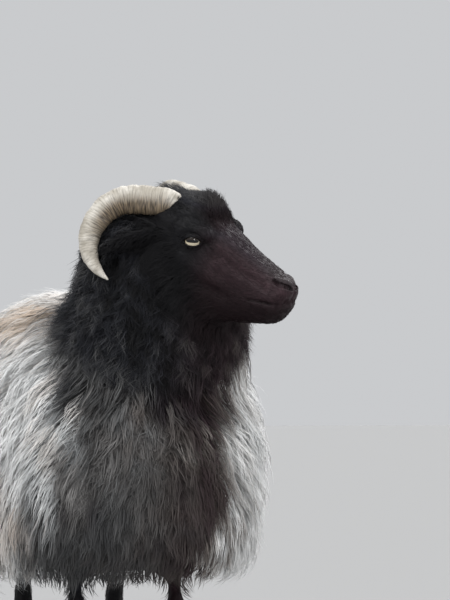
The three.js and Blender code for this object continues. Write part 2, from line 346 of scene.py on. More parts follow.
def nearestNode(points):
    corners, polygons, owner = [], [], []
    for index, name in enumerate(fleshNodes):
        mesh = nodes[name].data
        first = len(corners)
        corners += [vertex.co.copy() for vertex in mesh.vertices]
        polygons += [[first + i for i in polygon.vertices] for polygon in mesh.polygons]
        owner += [index] * len(mesh.polygons)
    tree = BVHTree.FromPolygons(corners, polygons)
    return np.array([owner[tree.find_nearest(Vector(point))[2]] for point in points])


body = rawSkin()
points = pointsOf(body.data)
pairs = edgesOf(body.data)
print("raw skin", len(points))
owner = nearestNode(points)


def regionOf(*starts):
    wanted = [i for i, name in enumerate(fleshNodes) if name.startswith(starts)]
    return np.isin(owner, wanted).astype(float)


def insetSkin(points):
    depth = np.array([depthOf(name) for name in fleshNodes])[owner]
    facing = normalsOf(body.data, points)
    under = regionOf("trunk") * smoothStep(0.2, 0.8, -facing[:, 2])
    depth = depth + (skin["belly"] * mm - depth) * under
    nape = regionOf("neck") * smoothStep(0.69, 0.74, points[:, 2]) * smoothStep(0, 0.5, facing[:, 2])
    depth = spread(depth * (1 - skin["nape"] * nape), pairs, skin["blend"])
    thinTip = spread(regionOf("tail"), pairs, 8) * smoothStep(0.52, 0.46, points[:, 2])
    depth = depth * (1 - skin["tailTip"] * thinTip)
    thin = regionOf("ear", "head") * spread(regionOf("ear", "head"), pairs, 12)
    depth = depth * (1 - thin) + skin["depth"]["head"] * mm * thin
    thick = smoothStep(0.003, 0.02, depth)[:, None]
    points = soften(points, pairs, 6, 0.6, 0.62)
    for _ in range(skin["steps"]):
        facing = unit(spread(normalsOf(body.data, points), pairs, 3))
        points = points - facing * depth[:, None] / skin["steps"]
        points = points + (neighbourMean(points, pairs) - points) * 0.7 * thick
    for _ in range(skin["unfold"]):  # tight corners that folded over on the way in are drawn flat again
        facing = normalsOf(body.data, points)
        bent = 1 - np.sum(facing * unit(spread(facing, pairs, 10)), axis=1)
        folded = np.clip(4 * spread(smoothStep(0.1, 0.3, bent), pairs, 4), 0, 0.9)[:, None]
        points = points + (neighbourMean(points, pairs) - points) * folded * thick
    return points


outline = treeOf(body.data, points)  # the tips of the coat
points = insetSkin(points)
putPoints(body.data, points)
print("skin is inset")


def headShare():
    return spread(regionOf("head", "ear"), pairs, 4)


def thinBody():
    bare = body.vertex_groups.new(name="underWool")
    share = smoothStep(0.012, 0.03, spread(regionOf("trunk", "neck"), pairs, 12) * 0.03)
    share = share * (headShare() < 0.02)
    for index in np.flatnonzero(share > 0):
        bare.add([int(index)], float(share[index]), "REPLACE")
    fewer = body.modifiers.new("fewer", "DECIMATE")
    fewer.vertex_group = "underWool"
    fewer.ratio = skin["keptUnderWool"]
    pick(body)
    bpy.ops.object.modifier_apply(modifier="fewer")
    body.vertex_groups.clear()


def unwrapSkin():
    layer = body.data.uv_layers.new(name="OFBake")
    body.data.uv_layers.active = layer
    pick(body)
    startEdit()
    bpy.ops.uv.smart_project(angle_limit=math.radians(66), island_margin=0.002)
    endEdit()


def subdivideWhere(chosen):
    pick(body)
    bpy.context.tool_settings.mesh_select_mode = (False, False, True)
    startEdit("DESELECT")
    endEdit()
    sizes, starts, corners = facesOf(body.data)
    body.data.polygons.foreach_set("select", np.add.reduceat(chosen[corners].astype(int), starts) == sizes)
    bpy.ops.object.mode_set(mode="EDIT")
    bpy.ops.mesh.subdivide(number_cuts=1)
    bpy.ops.mesh.select_all(action="DESELECT")
    endEdit()


thinBody()
points = pointsOf(body.data)
unwrapSkin()
owner = nearestNode(points)
pairs = edgesOf(body.data)
print("body thinned", len(points))
skinTree = treeOf(body.data, points)

# The eye and its lids, in mm in the head's axes. It looks along (ahead, up, out).
eye = {
    "ahead": 89, "up": 36, "out": 42.5, "radius": 15, "look": (0.40, 0.10, 0.91), "slope": 0.22,
    "half": 12.6, "upper": 6.9, "lower": 5.1, "lid": 1.3, "pocket": 3.0,
    "margin": 0.75, "upperFold": -1.1, "lowerFold": -0.8, "reach": 30, "blend": (13.0, 17.5),
}
# Lines are (ahead, up, out) in mm in the head's axes, drawn on one side and mirrored.
face = {
    "nostril": [(212, 20.5, 19), (219, 18, 19), (225, 17, 15.5), (230, 16, 10), (232, 13.5, 5)],
    "nostrilMouth": [(221, 17.5, 18), (226, 17, 14.5), (230, 16, 10)],
    "nostrilFold": [(211, 24, 17), (218, 23, 13), (223, 22, 8), (228, 19, 4)],
    "nostrilRim": [(216, 14, 21), (222, 13.5, 20), (228, 13.5, 16.5), (232, 12, 9.5), (234, 10, 5)],
    "mouth": [
        (188, -14, 32), (203, -11, 31), (213, -9.5, 30), (224, -8.5, 27), (233, -6.5, 20),
        (238, -5, 8), (239, -5, 0),
    ],
    "lowerLip": [(198, -17, 31), (213, -15.5, 30), (226, -14.5, 26), (234, -12, 18), (237, -11, 0)],
    "upperLip": [(206, -4, 31), (220, -1, 29), (232, 1, 21), (238, 3, 8)],
    "philtrum": [(234, 12, 0), (238, 5, 0), (239, -3, 0)],
    "tear": [(101, 38, 50), (105, 38.5, 45), (110, 38.5, 41), (115, 36, 39), (119, 32.5, 39), (123, 28, 39)],
    "tearSocket": [(104, 34, 49), (112, 28, 44), (124, 20, 41)],
    "browRidge": [(66, 44, 54), (76, 52, 51), (88, 55, 49), (98, 54, 47), (106, 48, 44)],
    "browFold": [
        (60, 39.5, 55), (65, 48, 53), (77, 54, 50.5), (88, 56.7, 48.5), (96, 57, 47), (104, 54, 46),
    ],
    "browFoldAbove": [
        (54, 36, 55), (54, 43.6, 53.5), (57, 53, 51.6), (61, 60, 49), (69.5, 65, 46.5), (80, 67.7, 41.6),
        (88, 66, 38),
    ],
    "cheekbone": [(82, 12, 57), (100, 6, 54), (120, 0, 48), (142, -6, 42)],
    "underCheekbone": [(110, -16, 50), (132, -20, 43), (154, -22, 37)],
    "noseEdge": [(118, 52, 20), (145, 43, 19), (172, 36, 17), (200, 29, 15)],
    "noseSide": [(128, 28, 38), (152, 20, 33), (176, 14, 30), (200, 10, 29)],
    "jaw": [(60, -66, 38), (84, -70, 34), (110, -66, 28), (140, -56, 24)],
    "jawBack": [(46, -40, 54), (56, -56, 48), (72, -66, 42)],
    "chinFold": [(200, -28, 27), (216, -28, 24), (228, -25, 15)],
}
# For each line, how far it reaches to its sides and how much it lifts the skin, in mm.
strokes = {
    "broad": (
        ("browRidge", 11, 2.0), ("cheekbone", 12, 2.4), ("underCheekbone", 12, -2.0), ("noseEdge", 9, 1.5),
        ("noseSide", 11, -1.8), ("jaw", 12, 1.5), ("jawBack", 12, 1.5), ("tearSocket", 8, -1.8),
        ("upperLip", 10, 1.4), ("lowerLip", 7, 1.3), ("chinFold", 6, -1.0), ("browFold", 3.4, -1.5),
        ("browFoldAbove", 3.4, -1.2),
    ),
    "lesser": (
        ("nostrilFold", 5.5, 3.0), ("nostrilRim", 3.6, 0.9), ("mouth", 3.6, -1.5), ("philtrum", 5, -0.3),
        ("tear", 3.4, -1.5),
    ),
    "fine": (("nostril", 3.8, -4.8), ("nostrilMouth", 5.0, -6.0), ("mouth", 1.9, -0.9)),
}
# For each line with painted shade, how far it reaches and how dark it is.
shadedCreaseLines = (
    ("nostril", 4.2, 1.0), ("nostrilMouth", 5.0, 1.0), ("mouth", 2.4, 0.85), ("tear", 3.2, 0.6),
    ("browFold", 2.6, 0.5), ("browFoldAbove", 2.6, 0.4),
)


def onSkin(place):
    return np.array(skinTree.find_nearest(Vector(place))[0])


def lineDistance(points, line, side):
    corners = np.array([onSkin(fromHead(ahead, up, out * side)) for ahead, up, out in line])
    nearest = np.full(len(points), 1e9)
    for start, end in zip(corners[:-1], corners[1:]):
        along = end - start
        t = np.clip((points - start) @ along / (along @ along), 0, 1)
        nearest = np.minimum(nearest, np.linalg.norm(points - start - t[:, None] * along, axis=1))
    return nearest / mm


def sculpt(points, kind):
    for line, radius, lift in strokes[kind]:
        facing = unit(spread(normalsOf(body.data, points), pairs, 2))
        for side in bothSides:
            reach = lineDistance(points, face[line], side) / radius
            points = points + facing * (np.clip(1 - reach**2, 0, 1) ** 2 * lift * mm)[:, None]
    putPoints(body.data, points)
    return points


def eyeAxes(side):
    look = headAxes @ np.array((eye["look"][2] * side, -eye["look"][0], eye["look"][1]))
    look = look / np.linalg.norm(look)
    ahead = headAxes @ np.array((0, -1, eye["slope"]))
    ahead = ahead - look * (ahead @ look)
    ahead = ahead / np.linalg.norm(ahead)
    above = np.cross(look, ahead)
    above = above * np.sign(above @ headAxes[:, 2])
    return fromHead(eye["ahead"], eye["up"], eye["out"] * side), ahead, above, look


# How far a place across the eye lies outside the almond of the lids, in mm.
def outsideLids(across, above):
    share = np.clip(1 - (across / eye["half"]) ** 2, 0, 1)
    edge = np.where(above > 0, eye["upper"], eye["lower"]) * share**0.72
    beside = np.hypot(np.clip(np.abs(across) - eye["half"], 0, None), above)
    return np.where(np.abs(across) < eye["half"], (np.abs(above) - edge) * 0.88, beside)


def openLids(points, side):
    place, ahead, above, look = eyeAxes(side)
    offset = (points - place) / mm
    across, high, out = offset @ ahead, offset @ above, offset @ look
    wide = np.hypot(across, high)
    near = (wide < eye["reach"]) & (out > -6)
    gap = outsideLids(across, high)
    shell = eye["radius"] + eye["lid"]
    dome = np.sqrt(np.clip(shell**2 - wide**2, 0, None))
    blend = (1 - smoothStep(*eye["blend"], wide)) * near
    raised = 0.25 + 0.75 * smoothStep(8.5, 13, wide)
    target = np.maximum(out, dome) * raised + dome * (1 - raised)
    target = out + (target - out) * blend
    margin = around(gap, 1.1, 0.9) * eye["margin"]  # the lid's thick edge
    upperFold = eye["upperFold"] * around(gap, 4.6, 1.0) * smoothStep(0.5, 3, high)
    lowerFold = eye["lowerFold"] * around(gap, 3.0, 0.8) * smoothStep(0.5, 3, -high)
    target = target + (margin + upperFold + lowerFold) * near * (wide < 22)
    pocket = np.sqrt(np.clip((eye["radius"] - eye["pocket"]) ** 2 - (wide * 0.75) ** 2, 0, None))
    inside = (1 - smoothStep(-1.0, -0.15, gap)) * near
    target = target + (pocket - target) * inside
    return points + (target - out)[:, None] * look * mm


def nearLine(points, name, radius):
    return np.min([lineDistance(points, face[name], side) for side in bothSides], axis=0) < radius


def eyeDistance(points):
    return np.min([np.linalg.norm(points - eyeAxes(side)[0], axis=1) for side in bothSides], axis=0) / mm


def refine(chosen, rounds):
    global points, pairs, owner
    subdivideWhere(chosen)
    points = pointsOf(body.data)
    print("refined", len(points))
    pairs = edgesOf(body.data)
    owner = nearestNode(points)
    points = soften(points, pairs, rounds, 0.5, 0.52, spread(regionOf("head", "ear"), pairs, 2)[:, None])
    putPoints(body.data, points)


refine(headShare() > 0.5, 3)
points = sculpt(points, "broad")

# The front of the lips and chin draws back a little under the nose.
ahead, up, out = inHead(points)
tuck = 5.0 * smoothStep(212, 238, ahead) * smoothStep(12, -2, up)
tuck = tuck - 1.8 * around(up, 17, 7) * smoothStep(222, 232, ahead)
points = points + (headAxes @ np.array((0, 1, 0)))[None, :] * (tuck * (headShare() > 0.5))[:, None] * mm
putPoints(body.data, points)
muzzle = (ahead > 205) & (np.abs(out) < 45) & (up > -34)
refine(muzzle | nearLine(points, "mouth", 7) | (eyeDistance(points) < 26), 2)
points = sculpt(points, "lesser")
refine((eyeDistance(points) < 20) | nearLine(points, "nostril", 6), 1)
points = sculpt(points, "fine")
for side in bothSides:
    points = openLids(points, side)
putPoints(body.data, points)


# How deep in a crease of the face a place is, from 0 to 1: painted shade darkens these, in the nostrils,
# mouth, tear line, brow folds and round the lids.
def paintedCreaseShade():
    deep = np.zeros(len(points))
    for name, radius, share in shadedCreaseLines:
        for side in bothSides:
            reach = lineDistance(points, face[name], side) / radius
            deep = np.maximum(deep, share * np.clip(1 - reach**2, 0, 1))
    for side in bothSides:
        place, ahead, above, look = eyeAxes(side)
        offset = (points - place) / mm
        high = offset @ above
        gap = outsideLids(offset @ ahead, high)
        lids = np.maximum(0.9 * around(gap, 0.2, 0.8), 0.6 * around(gap, np.where(high > 0, 4.7, 3.1), 0.8))
        deep = np.maximum(deep, lids * (np.linalg.norm(offset, axis=1) < 24))
    return deep


crease = paintedCreaseShade()
print("face is sculpted", len(points))


class Wave:  # a value flowing through the shader, which Python's operators add nodes to
    def __init__(self, tree, socket):
        self.tree, self.socket = tree, socket

    def maths(self, operation, *others):
        return self.tree.node("ShaderNodeMath", {"operation": operation}, self, *others)

    def __add__(self, other):
        return self.maths("ADD", other)

    def __sub__(self, other):
        return self.maths("SUBTRACT", other)

    def __mul__(self, other):
        return self.maths("MULTIPLY", other)

    def __rsub__(self, other):
        return self.tree.node("ShaderNodeMath", {"operation": "SUBTRACT"}, other, self)

    __radd__ = __add__
    __rmul__ = __mul__

    def step(self, low, high):
        settings = {"interpolation_type": "SMOOTHSTEP"}
        return self.tree.node("ShaderNodeMapRange", settings, self, low, high, 0.0, 1.0)


class Finish:  # one material and its nodes
    def __init__(self, name, **shader):
        self.material = bpy.data.materials.new(name)
        self.material.use_nodes = True
        self.nodes = self.material.node_tree.nodes
        self.links = self.material.node_tree.links
        self.shader = self.nodes["Principled BSDF"]
        for socket, value in shader.items():
            self.shader.inputs[socket.replace("_", " ")].default_value = value

    def node(self, kind, settings=None, *values, output=0, **named):
        made = self.nodes.new(kind)
        for name, value in (settings or {}).items():
            if name == "stops":
                while len(made.color_ramp.elements) < len(value):
                    made.color_ramp.elements.new(0.5)
                for element, (place, colour) in zip(made.color_ramp.elements, value):
                    element.position, element.color = place, (*colour, 1)
            else:
                setattr(made, name, value)
        for key, value in [*enumerate(values), *named.items()]:
            socket = made.inputs[key.replace("_", " ") if isinstance(key, str) else key]
            if isinstance(value, Wave):
                self.links.new(value.socket, socket)
            elif value is not None:
                socket.default_value = value
        return Wave(self, made.outputs[output])

    def attribute(self, name):
        return self.node("ShaderNodeAttribute", {"attribute_name": name}, output=2)

    def place(self):
        return self.node("ShaderNodeTexCoord", output=3)

    def noise(self, vector, scale, detail=2.0):
        return self.node("ShaderNodeTexNoise", None, Vector=vector, Scale=scale, Detail=detail)

    def mix(self, share, under, over):  # sockets 6 and 7 of the Mix node are its two colours
        made = self.nodes.new("ShaderNodeMix")
        made.data_type, made.clamp_factor = "RGBA", True
        for index, value in ((0, share), (6, under), (7, over)):
            if isinstance(value, Wave):
                self.links.new(value.socket, made.inputs[index])
            else:
                made.inputs[index].default_value = value if index == 0 else (*value, 1)
        return Wave(self, made.outputs[2])

    def stretched(self, turn, scale):
        return self.node("ShaderNodeMapping", None, self.place(), Rotation=turn, Scale=scale)

    def feed(self, socket, value):
        self.links.new(value.socket, self.shader.inputs[socket])

    def bump(self, height, strength, distance):
        made = self.node("ShaderNodeBump", None, Height=height, Strength=strength, Distance=distance)
        self.feed("Normal", made)


def colour(red, green, blue):  # from 0-255 screen values to the shader's linear ones
    values = [v / 255 for v in (red, green, blue)]
    return tuple(v / 12.92 if v < 0.04045 else ((v + 0.055) / 1.055) ** 2.4 for v in values)


iris = {"radius": 10.2, "rim": 1.6, "pupilHalf": (8.6, 1.9), "cornea": 0.7, "drop": -1.0}  # mm


def eyeFinish():
    finish = Finish("wetEye", Roughness=0.3, Coat_Weight=0.8, Coat_Roughness=0.03, Specular_IOR_Level=0.0)
    across, above = finish.attribute("across"), finish.attribute("above")
    wide = (across * across + above * above).maths("SQRT")
    angle = above.maths("ARCTAN2", across)
    turn = finish.node("ShaderNodeCombineXYZ", None, angle * 5.0, wide * 0.25)
    fibres = finish.noise(turn, 2.4, 4.0)
    base = finish.mix(fibres.step(0.3, 0.7), colour(176, 160, 128), colour(226, 218, 196))
    # painted shade of the upper lid: the iris above the pupil is dark
    base = finish.mix(above.step(0.4, 2.2), base, colour(40, 33, 28))
    rim = wide.step(iris["radius"] - iris["rim"], iris["radius"])
    base = finish.mix(rim, base, colour(38, 30, 26))
    flat = (across * (1 / iris["pupilHalf"][0])).maths("ABSOLUTE").maths("POWER", 3.0)
    tall = ((above + iris["drop"]) * (1 / iris["pupilHalf"][1])).maths("ABSOLUTE").maths("POWER", 2.4)
    pupil = 1 - (flat + tall).step(0.75, 1.15)
    base = finish.mix(pupil, base, colour(9, 9, 12))
    finish.feed("Base Color", base)
    return finish.material


def makeEye(side, name, material):
    place, ahead, above, look = eyeAxes(side)
    bpy.ops.mesh.primitive_uv_sphere_add(segments=64, ring_count=40, radius=1)
    eyeball = bpy.context.object
    eyeball.name = "eyeball_" + name
    ball = pointsOf(eyeball.data)
    wide = np.hypot(ball[:, 0], ball[:, 1]) * eye["radius"]
    radius = eye["radius"] + iris["cornea"] * (1 - smoothStep(5.5, 10.5, wide)) * (ball[:, 2] > 0)
    attribute(eyeball.data, "across", ball[:, 0] * eye["radius"])
    attribute(eyeball.data, "above", ball[:, 1] * eye["radius"])
    axes = np.stack([ahead, above, look])
    putPoints(eyeball.data, place + (ball * radius[:, None]) @ axes * mm)
    if np.linalg.det(axes) < 0:
        eyeball.data.flip_normals()
    eyeball.data.shade_smooth()
    eyeball.data.materials.append(material)
    keep(eyeball, "eye", "eye_" + name)


bpy.ops.object.select_all(action="DESELECT")
eyeMaterial = eyeFinish()
makeEye(-1, "right", eyeMaterial)
makeEye(1, "left", eyeMaterial)

# The path is (out, back, up) in mm in the head's axes. The taper is (along, deep, wide), as shares of the
# length and of the radius.
horn = {
    "path": [
        (20, -44, 56), (27, -29, 67), (34, -14, 66), (42, 2, 63), (51, 18, 59), (61, 31, 52), (72, 40, 40),
        (82, 44.5, 25), (91, 44.5, 8), (98, 39, -8), (102, 29, -22), (104, 18, -31), (104, 5, -38),
        (103, -9, -43),
    ],
    "taper": [
        (0, 0.96, 0.84), (0.32, 1, 0.84), (0.48, 0.92, 0.78), (0.65, 0.78, 0.66), (0.8, 0.57, 0.48),
        (0.9, 0.37, 0.31), (1, 0.045, 0.045),
    ],
    "radius": 20, "sides": 36, "rings": 420, "growthRings": 58, "ridge": 0.55, "swelling": 0.5,
    "rounding": 0.004, "coveredPart": 8,
}


def hornTaper(along, column):
    rows = np.array(horn["taper"])
    return np.interp(along, rows[:, 0], rows[:, column])


def smoothPath(corners, count):
    corners = np.array(corners, float)
    ends = np.vstack([2 * corners[0] - corners[1], corners, 2 * corners[-1] - corners[-2]])
    at = np.linspace(0, len(corners) - 1, 40 * len(corners))
    index = np.minimum(at.astype(int), len(corners) - 2)
    t = (at - index)[:, None]
    a, b, c, d = (ends[index + k] for k in range(4))
    line = 0.5 * (2 * b + (c - a) * t + (2 * a - 5 * b + 4 * c - d) * t**2 + (3 * b - a - 3 * c + d) * t**3)
    length = np.concatenate([[0], np.cumsum(np.linalg.norm(np.diff(line, axis=0), axis=1))])
    even = np.linspace(0, length[-1], count)
    return np.stack([np.interp(even, length, line[:, i]) for i in range(3)], 1)


def hornFinish():
    finish = Finish("hornSheath", Roughness=0.5)
    along, turn, inner = (finish.attribute(name) for name in ("along", "around", "inner"))
    streakPlace = finish.node("ShaderNodeCombineXYZ", None, along * 150.0, turn * 1.2, inner * 0.7)
    streaks = finish.noise(streakPlace, 1.0, 3.0)
    cloud = finish.noise(finish.place(), 42.0, 3.0)
    base = finish.mix(cloud.step(0.35, 0.7), colour(178, 171, 158), colour(224, 219, 209))
    underside = (inner + (cloud - 0.5) * 0.8).step(-0.35, 0.45) * (1 - along.step(0.5, 0.85))
    brown = finish.mix(streaks.step(0.42, 0.6), colour(66, 51, 35), colour(134, 114, 87))
    base = finish.mix(underside * 0.9, base, brown)
    lines = (1 - streaks.step(0.34, 0.46)) * (0.36 + underside * 0.64)
    base = finish.mix(lines * 0.8, base, colour(52, 42, 31))
    rings = finish.attribute("ring")
    base = finish.mix((1 - rings) * (0.25 + underside * 0.3), base, colour(84, 71, 54))
    base = finish.mix((1 - along.step(0.0, 0.1)) * 0.5, base, colour(84, 70, 52))
    finish.feed("Base Color", base)
    grainPlace = finish.node("ShaderNodeCombineXYZ", None, along * 60.0, turn * 14.0, inner * 3.0)
    grain = finish.noise(grainPlace, 1.0, 4.0)
    finish.bump(grain * 0.6 + streaks * 0.8, 0.35, 0.0008)
    return finish.material


# A horn's path, the two ways across it at each place, and the way to the middle of its curl.
def hornAxes(side):
    count = horn["rings"]
    path = smoothPath([(out * side, back, up) for out, back, up in horn["path"]], count + 1)
    ahead = unit(np.gradient(path, axis=0))
    level = unit(np.array((1, -0.35 * side, 0.3 * side)))
    up = unit(np.cross(np.broadcast_to(level, ahead.shape), ahead))
    return path, np.cross(ahead, up), up, unit(path[: int(0.9 * count)].mean(0) - path)


def makeHorn(side, name, material):
    count, sides = horn["rings"], horn["sides"]
    bpy.ops.mesh.primitive_uv_sphere_add(segments=sides, ring_count=count, radius=1)
    piece = bpy.context.object
    piece.name = "horn_sheath_" + name
    ball = pointsOf(piece.data)
    along = np.clip(np.arccos(np.clip(ball[:, 2], -1, 1)) / np.pi, 0, 1)
    angle = np.arctan2(ball[:, 1], ball[:, 0])
    path, right, up, towardCurl = hornAxes(side)
    step = np.clip(np.rint(along * count).astype(int), 0, count)
    deep, wide = hornTaper(along, 1), hornTaper(along, 2)
    radial = right[step] * np.cos(angle)[:, None] + up[step] * np.sin(angle)[:, None]
    inner = np.sum(radial * towardCurl[step], axis=1)
    rough = np.stack([along * 22, np.cos(angle) * 0.8 + 3 * side, np.sin(angle) * 0.8], 1)
    wander = np.array([noise.noise(Vector(place)) for place in rough])
    phase = along * horn["growthRings"] + wander * 1.1 + inner * 0.35
    ring = np.abs(np.sin(np.pi * phase)) ** 0.6
    yearly = np.sin(2 * np.pi * (along * 9 + wander * 0.6))
    ease = smoothStep(0, 0.05, along) * (1 - smoothStep(0.8, 0.98, along))
    lift = (horn["ridge"] * (ring - 0.6) * (0.75 - 0.35 * inner) + horn["swelling"] * yearly) * ease
    offset = right[step] * (np.cos(angle) * (horn["radius"] * wide + lift))[:, None]
    offset = offset + up[step] * (np.sin(angle) * (horn["radius"] * deep + lift))[:, None]
    inWorld = np.array(headPlace) + path @ headAxes.T * mm
    thick = hornTaper(np.linspace(0, 1, count + 1), 1) * horn["radius"] * mm
    bare = count // horn["coveredPart"]  # hair may cover the root, up to here
    hornTracks.append((inWorld[bare:], thick[bare:]))
    close = np.sqrt(np.clip(along / horn["rounding"], 0, 1))[:, None]
    local = path[step] + offset * close
    putPoints(piece.data, np.array(headPlace) + local @ headAxes.T * mm)
    for key, values in (("along", along), ("around", np.sin(angle)), ("inner", inner), ("ring", ring)):
        attribute(piece.data, key, values)
    pick(piece)
    startEdit()
    bpy.ops.mesh.normals_make_consistent(inside=False)
    endEdit()
    piece.data.shade_smooth()
    piece.data.materials.append(material)
    keep(piece, "horn", "horn_" + name)


hornTracks = []  # where the horns run and how thick they are, so that the hair keeps clear of them
hornMaterial = hornFinish()
makeHorn(-1, "right", hornMaterial)
makeHorn(1, "left", hornMaterial)

hoof = {"voxel": 1.3, "ringHeight": 3.2, "ringDepth": 0.22, "sole": 1.1}  # mm


def hoofFinish():
    finish = Finish("hoofHorn", Roughness=0.48)
    bands = finish.noise(finish.stretched((0, 0, 0), (0.35, 0.35, 4.0)), 160.0, 3.0)
    worn = finish.noise(finish.place(), 55.0, 3.0)
    base = finish.mix(bands.step(0.35, 0.65), colour(38, 33, 30), colour(74, 66, 58))
    base = finish.mix(worn.step(0.52, 0.8) * 0.6, base, colour(104, 92, 78))
    finish.feed("Base Color", base)
    finish.bump(bands, 0.4, 0.0006)
    return finish.material


def makeHooves(leg, material):
    parts = [f"{leg}_{kind}_{place}" for kind in ("claw", "dewclaw") for place in ("inner", "outer")]
    piece = fusedCopy("hooves_" + leg, parts, hoof["voxel"])
    co = soften(pointsOf(piece.data), edgesOf(piece.data), 5, 0.6, 0.58)
    facing = normalsOf(piece.data, co)
    rings = np.sin(co[:, 2] / mm / hoof["ringHeight"] * 2 * np.pi + np.sin(co[:, 1] / mm * 0.2))
    co = co + facing * (rings * hoof["ringDepth"] * mm * (np.abs(facing[:, 2]) < 0.7))[:, None]
    co[co[:, 2] < hoof["sole"] * mm, 2] = 0
    putPoints(piece.data, co)
    piece.data.shade_smooth()
    piece.data.materials.append(material)
    keep(piece, "hoof", *parts)


hoofMaterial = hoofFinish()
for leg in legs:
    makeHooves(leg, hoofMaterial)

# The markings, with the painted sheen on the top of the nose, are shared by skin and coat.
# Half the width of the dark chest at each height, in mm: the sheep's right side, then its left.
chestEdge = {
    "heights": (300, 340, 400, 450, 510, 600, 670, 700),
    "right": (156, 146, 130, 120, 116, 104, 70, 44),
    "left": (108, 136, 120, 96, 128, 124, 67, 40),
    "behind": -212, "soft": 32,
}
# Darker streaks beside the chest, on the sheep's right: (across, height, half width, half height, darkness).
streak = {
    "spots": (
        (-108, 565, 22, 60, 0.34), (-120, 455, 16, 32, 0.26), (-88, 372, 28, 24, 0.28),
        (-60, 520, 30, 30, 0.08),
    ),
    "strength": 1.35,
}


def drift(places, size, seed):
    waves = np.random.default_rng(seed)
    total = np.zeros(len(places))
    for _ in range(7):
        direction = waves.normal(size=3)
        pitch = waves.uniform(0.6, 1.6) * 2 * np.pi / (size * mm)
        total += np.sin(places @ (direction / np.linalg.norm(direction)) * pitch + waves.uniform(0, 7))
    return total / 2.2


def faceMarkingsAndSheen(places):
    ahead, up, out = inHead(places)
    middleLine = smoothStep(-44, -16, -np.abs(out)) * (1 - 0.6 * smoothStep(72, 84, up))
    facePale = 0.01 + 0.055 * smoothStep(92, 135, ahead) * smoothStep(-30, 25, up)
    facePale = facePale + 0.04 * smoothStep(150, 215, ahead) * smoothStep(-20, 15, up)
    facePale = facePale + 0.17 * smoothStep(74, 90, up)
    faceWarm = 0.05 + 0.8 * np.maximum(smoothStep(84, 128, ahead), middleLine * smoothStep(56, 92, ahead))
    # Painted sheen of sky light along the top of the nose.
    bridgeSheen = smoothStep(-12, 2, up - 52 + 0.28 * (ahead - 118)) * smoothStep(96, 120, ahead)
    facePale = facePale + 0.035 * bridgeSheen  # painted sheen: the top of the nose is paler and less brown, as if sky light fell on it
    faceWarm = faceWarm - 0.4 * bridgeSheen
    return facePale, faceWarm


# How pale and how brown places are, given how far they belong to the neck or trunk and not to the face.
def markingsAndSheen(places, neck, trunk):
    x, y, z = (places[:, i] / mm for i in range(3))
    y = y - stanceY / mm - 264
    streaky = places * np.array((1.0, 1.0, 0.35))
    wander = drift(streaky, 60, 3) * 14 + drift(streaky, 22, 4) * 9
    rightEdge = np.interp(z, chestEdge["heights"], chestEdge["right"])
    leftEdge = np.interp(z, chestEdge["heights"], chestEdge["left"])
    edge = np.where(x < 0, rightEdge, leftEdge)
    soft = chestEdge["soft"]
    dark = smoothStep(-soft, soft, edge - np.abs(x) + wander)
    dark = dark * (1 - smoothStep(-30, 30, y - chestEdge["behind"] + wander))
    grey = 0.22 + 0.12 * around(x, -30, 85) * around(z, 485, 70)
    grey = grey + 0.05 * around(x, -60, 90) * around(z, 390, 60)
    grey = grey + 0.03 * drift(streaky, 40, 5) - 0.055 * smoothStep(20, 80, x)
    black = 0.03 + 0.07 * smoothStep(0, -70, x) + 0.06 * smoothStep(20, 90, x)
    black = black + 0.03 * drift(streaky, 40, 10)
    black = np.maximum(black + 0.075 * drift(places, 28, 15), 0)
    mane = smoothStep(-45, 45, z - 532 + 0.7 * x + wander)  # the dark mane ends lower on the sheep's left
    grey = grey + (black - grey) * mane
    flank = 0.95 + 0.05 * drift(streaky, 60, 6) + 0.04 * drift(streaky, 20, 7)
    shoulder = around(x, -160, 45) * around(z, 380, 80) * (y < -120)
    flank = flank - 0.16 * shoulder
    flank = flank - 0.22 * smoothStep(-60, 120, y) * around(z, 300, 60)
    pale = dark * grey + (1 - dark) * flank
    front = smoothStep(-160, -230, y)
    for across, height, wide, tall, less in streak["spots"]:
        spot = around(x + wander * 0.6, across, wide) * around(z, height, tall)
        pale = pale * (1 - less * spot * front * streak["strength"])
    saddle = around(z, 636, 34) * around(y, -130, 190) * np.where(x < 0, 1.0, 0.55) * (np.abs(x) > 60)
    stain = around(x, -172, 45) * around(z, 330, 40) * around(y, -300, 70)
    warm = np.clip(saddle * (0.95 + 0.35 * drift(streaky, 30, 8)) + 0.5 * stain, 0, 1) * (1 - dark)
    warm = warm + dark * smoothStep(-60, 110, x + 14 * drift(places, 60, 9)) * 0.8
    cream = smoothStep(0.1, 0.9, drift(streaky, 46, 21) + around(x, -110, 60) * around(z, 440, 70))
    warm = warm + 0.2 * cream * front * (1 - mane) * (x < 0) + 0.1 * cream * front * (1 - dark)
    neckWarm = 0.02 + 0.66 * smoothStep(-30, 90, x + 0.25 * (y + 300))
    facePale, faceWarm = faceMarkingsAndSheen(places)
    rest = np.clip(1 - neck - trunk, 0, 1)
    pale = pale * trunk + grey * neck + facePale * rest
    warm = warm * trunk + neckWarm * neck + faceWarm * rest
    return np.clip(pale, 0, 1), np.clip(warm, 0, 1)


